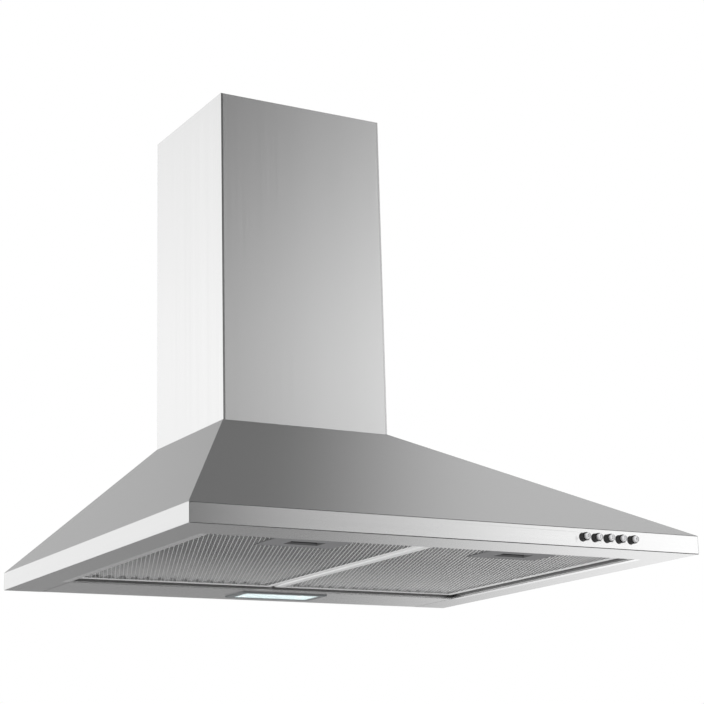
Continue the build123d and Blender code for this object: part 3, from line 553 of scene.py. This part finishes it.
def makeEdgeGroup(look):
    # paints shade into the colour inside a box, on the faces that look one way; a negative depth
    # paints a highlight
    group = bpy.data.node_groups.new("edgeShade", "ShaderNodeTree")
    addSockets(group, "INPUT", "Color", ["Color"])
    addSockets(group, "INPUT", "Vector", ["Place", "Normal", "Facing", "Low", "High"])
    addSockets(group, "INPUT", "Float", ["Depth"])
    addSockets(group, "OUTPUT", "Color", ["Color"])
    start, end = addNode(group, "NodeGroupInput"), addNode(group, "NodeGroupOutput")
    value = start.outputs

    def vectorNode(operation, first, second):
        node = addNode(group, "ShaderNodeVectorMath", operation=operation)
        group.links.new(first, node.inputs[0])
        group.links.new(second, node.inputs[1])
        return node

    past = vectorNode("SUBTRACT", value["Place"], value["Low"]).outputs[0]
    short = vectorNode("SUBTRACT", value["High"], value["Place"]).outputs[0]
    x, y, z = separate(group, vectorNode("MINIMUM", past, short).outputs[0])
    least = mathNode(group, "MINIMUM", mathNode(group, "MINIMUM", x, y), z)
    inside = mathNode(group, "GREATER_THAN", least, 0.0)
    match = vectorNode("DOT_PRODUCT", value["Normal"], value["Facing"]).outputs["Value"]
    turned = mathNode(group, "GREATER_THAN", match, look["facingLimit"])
    mask = mathNode(group, "MULTIPLY", inside, turned)
    shade = mathNode(group, "SUBTRACT", 1.0, mathNode(group, "MULTIPLY", mask, value["Depth"]))
    tint = addNode(group, "ShaderNodeVectorMath", operation="SCALE")
    group.links.new(value["Color"], tint.inputs[0])
    group.links.new(shade, tint.inputs["Scale"])
    group.links.new(tint.outputs[0], end.inputs["Color"])
    return group


edgeGroup = makeEdgeGroup(paintedShadeAndSeams)
toFront, toBelow, toLeft, toRight = (0, -1, 0), (0, 0, -1), (-1, 0, 0), (1, 0, 0)
wide = (-10.0, 10.0)
deepPart = (hoodLow.z + paintedShadeAndSeams["openingLight"], hoodHigh.z)
foldHeights = (hoodLow.z, hoodLow.z + paintedShadeAndSeams["fasciaHeight"])


def edgeBox(facing, depth, x=wide, y=wide, z=wide):
    low, high = zip(x, y, z)
    return {"Facing": facing, "Depth": depth, "Low": low, "High": high}


def paintEdgeShadeAndSeams(material, boxes):
    tree = material.node_tree
    shader = tree.nodes["Principled BSDF"]
    coords = addNode(tree, "ShaderNodeTexCoord").outputs
    color = shader.inputs["Base Color"].links[0].from_socket
    for box in boxes:
        edge = addNode(tree, "ShaderNodeGroup", node_tree=edgeGroup)
        tree.links.new(color, edge.inputs["Color"])
        tree.links.new(coords["Object"], edge.inputs["Place"])
        tree.links.new(coords["Normal"], edge.inputs["Normal"])
        for key, value in box.items():
            edge.inputs[key].default_value = value
        color = edge.outputs["Color"]
    tree.links.new(color, shader.inputs["Base Color"])


def endLines(name, facing, width, leftDepth, rightDepth):
    low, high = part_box(name)
    return [edgeBox(facing, leftDepth, x=(low.x - millimetre, low.x + width)),
            edgeBox(facing, rightDepth, x=(high.x - width, high.x + millimetre))]


# painted reflection: dark lines at the ends of the front faces stand in for the dark studio
# mirrored at the corners
def paintedCornerShade(name, look):
    return endLines(name, toFront, look["width"], look["depth"], look["farCornerPaintedShade"])


# painted reflection: a dark line along a fold stands in for the dark studio mirrored in the bend
def paintedFoldLine(height, look):
    half = look["foldWidth"]
    return edgeBox(toFront, look["foldPaintedShade"], z=(height - half, height + half))


# painted shade on the turned edges deep in the openings, and a painted highlight on the border
# beside each filter
def paintedOpeningShadeAndHighlight(look):
    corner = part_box("filter_frame_left")[0]
    left, right = corner.x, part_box("filter_frame_right")[1].x
    reach, border = look["openingReach"], look["border"]
    along = (corner.y - look["frameGap"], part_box("rear_panel")[0].y)
    return [edgeBox(toLeft, look["openingPaintedShade"], x=(right - reach, right + reach), z=deepPart),
            edgeBox(toRight, look["openingPaintedShade"], x=(left - reach, left + reach), z=deepPart),
            edgeBox(toBelow, -look["borderPaintedHighlight"], x=(right, right + border), y=along),
            edgeBox(toBelow, -look["borderPaintedHighlight"], x=(left - border, left), y=along)]


paintEdgeShadeAndSeams(finishes["canopySteel"], paintedCornerShade("canopy_shell", paintedShadeAndSeams) + paintedOpeningShadeAndHighlight(paintedShadeAndSeams)
          + [paintedFoldLine(height, paintedShadeAndSeams) for height in foldHeights])
paintEdgeShadeAndSeams(finishes["chimneySteel"], paintedCornerShade("lower_chimney_cover", paintedShadeAndSeams)
          + paintedCornerShade("upper_chimney_cover", paintedShadeAndSeams))
# the rear panel's ends get dark seam lines, and its face deep in the opening gets painted shade
seam = paintedShadeAndSeams["seamDepth"]
paintEdgeShadeAndSeams(finishes["rearSteel"],
          endLines("rear_panel", toBelow, paintedShadeAndSeams["seamWidth"], seam, seam)
          + [edgeBox(toFront, paintedShadeAndSeams["openingPaintedShade"], z=deepPart)])


backLayer = {
    "pitch": 4.7 * millimetre,
    "lean": 0.78,
    "color": (0.27, 0.27, 0.275, 1),
    "cover": 0.60,
    "litColor": (0.60, 0.60, 0.60, 1),
    "litShare": 0.80,
    "litFrom": 0.40,
}


def paintPackStrandsAndLampLight(material, look):
    # the deeper strands of the pack, seen between those of the front sheet, painted dark as
    # painted shade inside the filter
    tree = material.node_tree
    shader = tree.nodes["Principled BSDF"]
    coords = addNode(tree, "ShaderNodeTexCoord").outputs["Object"]
    turn = 2 * math.pi / look["pitch"]
    waves = []
    for lean in (look["lean"], -look["lean"]):
        along = addNode(tree, "ShaderNodeVectorMath", operation="DOT_PRODUCT")
        tree.links.new(coords, along.inputs[0])
        along.inputs[1].default_value = (turn, turn * lean, 0)
        waves.append(mathNode(tree, "SINE", along.outputs["Value"]))
    strands = mathNode(tree, "GREATER_THAN", mathNode(tree, "MAXIMUM", *waves), look["cover"])
    # painted light: the pack is painted lighter towards the rear, where the lamp stands behind
    # the filters
    low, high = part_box("filter_frame_left")
    ramp = addNode(tree, "ShaderNodeMapRange")
    tree.links.new(separate(tree, coords)["Y"], ramp.inputs["Value"])
    ramp.inputs["From Min"].default_value = low.y + look["litFrom"] * (high.y - low.y)
    ramp.inputs["From Max"].default_value = high.y
    ramp.inputs["To Max"].default_value = look["litShare"]
    color = shader.inputs["Base Color"].links[0].from_socket
    for share, other in ((strands, look["color"]), (ramp.outputs[0], look["litColor"])):
        blend = addNode(tree, "ShaderNodeMix", data_type="RGBA")
        tree.links.new(share, blend.inputs[0])
        tree.links.new(color, blend.inputs[6])
        blend.inputs[7].default_value = other
        color = blend.outputs[2]
    tree.links.new(color, shader.inputs["Base Color"])


paintPackStrandsAndLampLight(finishes["packFoilPaintedShade"], backLayer)


lampLook = {
    "lensColor": (0.95, 0.99, 1.0),
    "lensRoughness": 0.12,
    "lensClear": 0.75,
    "lensIndex": 1.45,
    "lensGlowColor": (0.80, 1.0, 1.0, 1),
    "lensGlow": 0.22,
    "ribScale": 300,
    "ribBump": 0.05,
    "boardColor": (0.9, 0.93, 0.93),
    "boardRoughness": 0.5,
    "barHeight": 0.7 * millimetre,
    "barGlowColor": (0.84, 1.0, 1.0),
    "barGlow": 1.2,
}


def lensMaterial(look):
    material, tree, shader = newMaterial("clearCover", look["lensColor"], 0.0,
                                         look["lensRoughness"])
    shader.inputs["Transmission Weight"].default_value = look["lensClear"]
    shader.inputs["IOR"].default_value = look["lensIndex"]
    shader.inputs["Emission Color"].default_value = look["lensGlowColor"]
    shader.inputs["Emission Strength"].default_value = look["lensGlow"]
    ribs = addNode(tree, "ShaderNodeTexWave")
    ribs.inputs["Scale"].default_value = look["ribScale"]
    tree.links.new(addNode(tree, "ShaderNodeTexCoord").outputs["Object"], ribs.inputs["Vector"])
    addBump(tree, shader, ribs.outputs["Fac"], look["ribBump"])
    return material


def lightMaterial(look):
    material, tree, shader = newMaterial("litBoard", look["boardColor"], 0.0,
                                         look["boardRoughness"])
    height = separate(tree, addNode(tree, "ShaderNodeTexCoord").outputs["Object"])["Z"]
    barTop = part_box("led_board")[0].z + look["barHeight"]
    glow = addNode(tree, "ShaderNodeVectorMath", operation="SCALE")
    glow.inputs[0].default_value = look["barGlowColor"]
    tree.links.new(mathNode(tree, "LESS_THAN", height, barTop), glow.inputs["Scale"])
    tree.links.new(glow.outputs[0], shader.inputs["Emission Color"])
    shader.inputs["Emission Strength"].default_value = look["barGlow"]
    return material


finishes["clearCover"] = lensMaterial(lampLook)
finishes["litBoard"] = lightMaterial(lampLook)

buttonNumbers = range(1, 6)
nodeFinish = {
    "canopySteel": ["canopy_shell", "centre_rail"],
    "rearSteel": ["rear_panel"],
    "chimneySteel": ["lower_chimney_cover", "upper_chimney_cover"],
    "zincSheet": ["back_panel", "upper_wall_bracket", "lower_wall_bracket",
                  "blower_mount_plate", "motor_bracket", "lamp_housing"],
    "filterSteel": ["filter_frame_left", "filter_frame_right"],
    "handleGrey": ["handle_plate_left", "handle_plate_right"],
    "filterNet": ["filter_net_left", "filter_net_right"],
    "packFoilPaintedShade": ["filter_pack_left", "filter_pack_right"],
    "motorMetal": ["motor_body"],
    "screwMetal": ["motor_shaft", "damper_pin", "capacitor_nut", "plate_screws", "outlet_screws",
                   "volute_screws", "motor_screws", "latch_spring_left", "latch_spring_right"],
    "mirrorSheet": ["lamp_reflector"],
    "blackPlastic": ["volute_left", "volute_right", "inlet_guard", "outlet_adaptor",
                     "damper_collar", "cable_gland", "switch_block"],
    "latchBlackAndSlotShade": ["latch_left", "latch_right"],
    "wheelPlastic": ["impeller"],
    "greyPlastic": ["damper_flap_front", "damper_flap_rear",
                    "terminal_box", "terminal_box_lid"],
    "capacitorShell": ["run_capacitor"],
    "buttonGloss": ["push_button_" + str(index) for index in buttonNumbers],
    "bezelPlastic": ["lamp_bezel"],
    "clearCover": ["lamp_lens"],
    "litBoard": ["led_board"],
}
for finish, names in nodeFinish.items():
    for name in names:
        mesh = nodes[name].data
        mesh.materials.clear()
        mesh.materials.append(finishes[finish])
# the canopy mirrors the studio, not the chimney that stands on it
for name in nodes:
    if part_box(name)[1].z > hoodHigh.z + millimetre:
        nodes[name].visible_glossy = False
unfinished = set(nodes) - {n for names in nodeFinish.values() for n in names}
print("finishes ready, bare nodes:", sorted(unfinished))


# filter mesh: an expanded sheet, one small ring of strands repeated by a node tree
filterMesh = {
    "columnPitch": 4.7 * millimetre,
    "rowPitch": 5.9 * millimetre,
    "holeWidth": 3.85 * millimetre,
    "holeDepth": 9.7 * millimetre,
    "twist": 0.015 * millimetre,
    "sheet": 0.10 * millimetre,
    "plateLap": 3.0 * millimetre,
    "plateGap": 1.2 * millimetre,
    "weldDistance": 0.01 * millimetre,
}


def strandRing(look):
    halfX, halfY = look["columnPitch"] / 2, look["rowPitch"]
    holeX, holeY = look["holeWidth"] / 2, look["holeDepth"] / 2
    twist = look["twist"]
    corners = [(halfX, 0, 0), (0, halfY, 0), (-halfX, 0, 0), (0, -halfY, 0),
               (holeX, 0, -twist), (0, holeY, twist), (-holeX, 0, twist), (0, -holeY, -twist)]
    faces = [(i, 4 + i, 4 + (i + 1) % 4, (i + 1) % 4) for i in range(4)]
    mesh = bpy.data.meshes.new("strandRing")
    mesh.from_pydata(corners, [], faces)
    return mesh


def makeMeshTree(material, look):
    tree = bpy.data.node_groups.new("expandedSheet", "GeometryNodeTree")
    addSockets(tree, "INPUT", "Geometry", ["Ring"])
    addSockets(tree, "INPUT", "Int", ["Columns", "Rows"])
    addSockets(tree, "INPUT", "Float",
               ["Column Pitch", "Row Pitch", "Skip Half Width", "Skip Rear"])
    addSockets(tree, "INPUT", "Vector", ["Centre"])
    addSockets(tree, "OUTPUT", "Geometry", ["Sheet"])
    start, end = addNode(tree, "NodeGroupInput"), addNode(tree, "NodeGroupOutput")
    link = tree.links.new
    value = start.outputs

    def times(first, second):
        return mathNode(tree, "MULTIPLY", first, second)

    def spread(count, pitch):
        return times(mathNode(tree, "SUBTRACT", value[count], 1.0), value[pitch])

    grid = addNode(tree, "GeometryNodeMeshGrid")
    link(value["Columns"], grid.inputs["Vertices X"])
    link(value["Rows"], grid.inputs["Vertices Y"])
    link(spread("Columns", "Column Pitch"), grid.inputs["Size X"])
    link(spread("Rows", "Row Pitch"), grid.inputs["Size Y"])
    # every second row moves half a pitch
    number = addNode(tree, "GeometryNodeInputIndex").outputs[0]
    odd = mathNode(tree, "MODULO", mathNode(tree, "MODULO", number, value["Rows"]), 2.0)
    shift = times(mathNode(tree, "SUBTRACT", odd, 0.5), times(value["Column Pitch"], 0.5))
    offset = addNode(tree, "ShaderNodeCombineXYZ")
    link(shift, offset.inputs["X"])
    place = addNode(tree, "GeometryNodeSetPosition")
    link(grid.outputs["Mesh"], place.inputs["Geometry"])
    link(offset.outputs[0], place.inputs["Offset"])
    # no rings behind the handle plate
    where = separate(tree, addNode(tree, "GeometryNodeInputPosition").outputs[0])
    away = mathNode(tree, "ABSOLUTE", where["X"])
    near = mathNode(tree, "LESS_THAN", away, value["Skip Half Width"])
    front = mathNode(tree, "LESS_THAN", where["Y"], value["Skip Rear"])
    skip = addNode(tree, "GeometryNodeDeleteGeometry", domain="POINT")
    link(place.outputs["Geometry"], skip.inputs["Geometry"])
    link(times(near, front), skip.inputs["Selection"])
    rings = addNode(tree, "GeometryNodeInstanceOnPoints")
    link(skip.outputs["Geometry"], rings.inputs["Points"])
    link(value["Ring"], rings.inputs["Instance"])
    real = addNode(tree, "GeometryNodeRealizeInstances")
    link(rings.outputs["Instances"], real.inputs["Geometry"])
    weld = addNode(tree, "GeometryNodeMergeByDistance")
    weld.inputs["Distance"].default_value = look["weldDistance"]
    link(real.outputs["Geometry"], weld.inputs["Geometry"])
    move = addNode(tree, "GeometryNodeSetPosition")
    link(weld.outputs["Geometry"], move.inputs["Geometry"])
    link(value["Centre"], move.inputs["Offset"])
    finish = addNode(tree, "GeometryNodeSetMaterial")
    finish.inputs["Material"].default_value = material
    link(move.outputs["Geometry"], finish.inputs["Geometry"])
    link(finish.outputs["Geometry"], end.inputs["Sheet"])
    return tree


def bakedMesh(source, name):
    # the object's final mesh; the object itself goes
    graph = bpy.context.evaluated_depsgraph_get()
    mesh = bpy.data.meshes.new_from_object(source.evaluated_get(graph))
    mesh.name = name
    bpy.data.objects.remove(source)
    return mesh


meshTree = makeMeshTree(finishes["filterNet"], filterMesh)


def makeFilterMesh(side, look):
    netLow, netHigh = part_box("filter_net_" + side)
    plateLow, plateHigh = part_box("handle_plate_" + side)
    middle = (netLow + netHigh) / 2
    settings = {
        "Columns": int((netHigh.x - netLow.x) / look["columnPitch"]),
        "Rows": int((netHigh.y - netLow.y) / look["rowPitch"]),
        "Column Pitch": look["columnPitch"],
        "Row Pitch": look["rowPitch"],
        "Skip Half Width": (plateHigh.x - plateLow.x) / 2 - look["plateLap"],
        "Skip Rear": plateHigh.y + look["plateGap"] - middle.y,
        "Centre": (middle.x, middle.y, netLow.z + look["twist"]),
    }
    source = linkPiece("meshSource", strandRing(look))
    rows = source.modifiers.new("rows", "NODES")
    rows.node_group = meshTree
    for item in meshTree.interface.items_tree:
        if item.name in settings:
            rows[item.identifier] = settings[item.name]
    solid = source.modifiers.new("sheet", "SOLIDIFY")
    solid.thickness = look["sheet"]
    solid.offset = 1.0
    name = "filterMesh" + side.capitalize()
    piece = linkPiece(name, bakedMesh(source, name))
    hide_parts("filter_net_" + side)
    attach(piece, "filter_" + side)
    print(piece.name, len(piece.data.polygons), "faces")


for side in ("left", "right"):
    makeFilterMesh(side, filterMesh)


# buttons: a bright cap with a plain number on each barrel
buttonCap = {
    "radius": 3.45 * millimetre,
    "length": 2.90 * millimetre,
    "dome": 0.22 * millimetre,
    "rim": 0.25 * millimetre,
    "sink": 0.10 * millimetre,
    # from the front edge over the rolled rim: rims inwards and share of the dome
    "rimCurve": ((0.0, 0.50), (0.35, 0.95), (1.0, 1.00), (1.8, 0.85), (2.4, 0.45)),
    # the shallow dish: shares of the radius and the dome
    "dish": (0.45, 0.40),
    "segments": 40,
    "numberHeight": 3.2 * millimetre,
    "textScale": 1.35,
    "numberDome": 0.42,
    "numberRaise": 0.05 * millimetre,
    "marks": ("0", "1", "2", "3", "4"),
}


def ringFaces(mesh, first, second):
    count = len(first)
    for i in range(count):
        j = (i + 1) % count
        mesh.faces.new((first[i], first[j], second[j], second[i]))


def shapePiece(shape, name, finish):
    mesh = bpy.data.meshes.new(name)
    shape.to_mesh(mesh)
    shape.free()
    mesh.materials.clear()
    mesh.materials.append(finishes[finish])
    return linkPiece(name, mesh)


def makeButtonBarrel(index, look):
    node = nodes["push_button_" + str(index)]
    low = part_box(node.name)[0]
    shape = bmesh.new()
    shape.from_mesh(node.data)
    shape.transform(node.matrix_world)
    geometry = shape.verts[:] + shape.edges[:] + shape.faces[:]
    cut = bmesh.ops.bisect_plane(shape, geom=geometry, clear_outer=True, plane_no=(0, -1, 0),
                                 plane_co=(0, low.y + look["length"], 0))
    rim = [item for item in cut["geom_cut"] if isinstance(item, bmesh.types.BMEdge)]
    bmesh.ops.holes_fill(shape, edges=rim)
    barrel = shapePiece(shape, "buttonBarrel" + str(index), "buttonGloss")
    barrel.visible_glossy = False
    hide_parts(node.name)
    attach(barrel, "button_" + str(index))


def makeButtonCap(index, centre, look):
    radius, rim, dome = look["radius"], look["rim"], look["dome"]
    profile = [(radius, look["length"] + look["sink"])]
    profile += [(radius - rim * inward, -dome * share) for inward, share in look["rimCurve"]]
    profile.append((radius * look["dish"][0], -dome * look["dish"][1]))
    angles = [2 * math.pi * i / look["segments"] for i in range(look["segments"])]
    shape = bmesh.new()
    loops = []
    for r, y in profile:
        loops.append([shape.verts.new(centre + Vector((r * math.cos(a), y, r * math.sin(a))))
                      for a in angles])
    for first, second in zip(loops, loops[1:]):
        ringFaces(shape, first, second)
    shape.faces.new(loops[-1])
    shape.faces.new(list(reversed(loops[0])))
    bmesh.ops.recalc_face_normals(shape, faces=shape.faces)
    cap = shapePiece(shape, "buttonCap" + str(index), "capMetal")
    cap.data.shade_smooth()
    cap.visible_glossy = False
    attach(cap, "button_" + str(index))


def makeButtonNumber(index, centre, look):
    text = bpy.data.curves.new("numberText", "FONT")
    text.body = look["marks"][index - 1]
    text.size = look["numberHeight"] * look["textScale"]
    text.align_x = "CENTER"
    text.align_y = "CENTER"
    text.extrude = look["numberRaise"]
    number = linkPiece("numberText", text)
    place = (Matrix.Translation(centre + Vector((0, -look["dome"] * look["numberDome"], 0)))
             @ Matrix.Rotation(math.pi / 2, 4, "X"))
    name = "buttonNumber" + str(index)
    flat = bakedMesh(number, name)
    flat.transform(place)
    flat.materials.clear()
    flat.materials.append(finishes["markPaint"])
    mark = linkPiece(name, flat)
    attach(mark, "button_" + str(index))


for index in buttonNumbers:
    low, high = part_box("push_button_" + str(index))
    front = Vector(((low.x + high.x) / 2, low.y, (low.z + high.z) / 2))
    makeButtonBarrel(index, buttonCap)
    makeButtonCap(index, front, buttonCap)
    makeButtonNumber(index, front, buttonCap)
print("button caps ready")
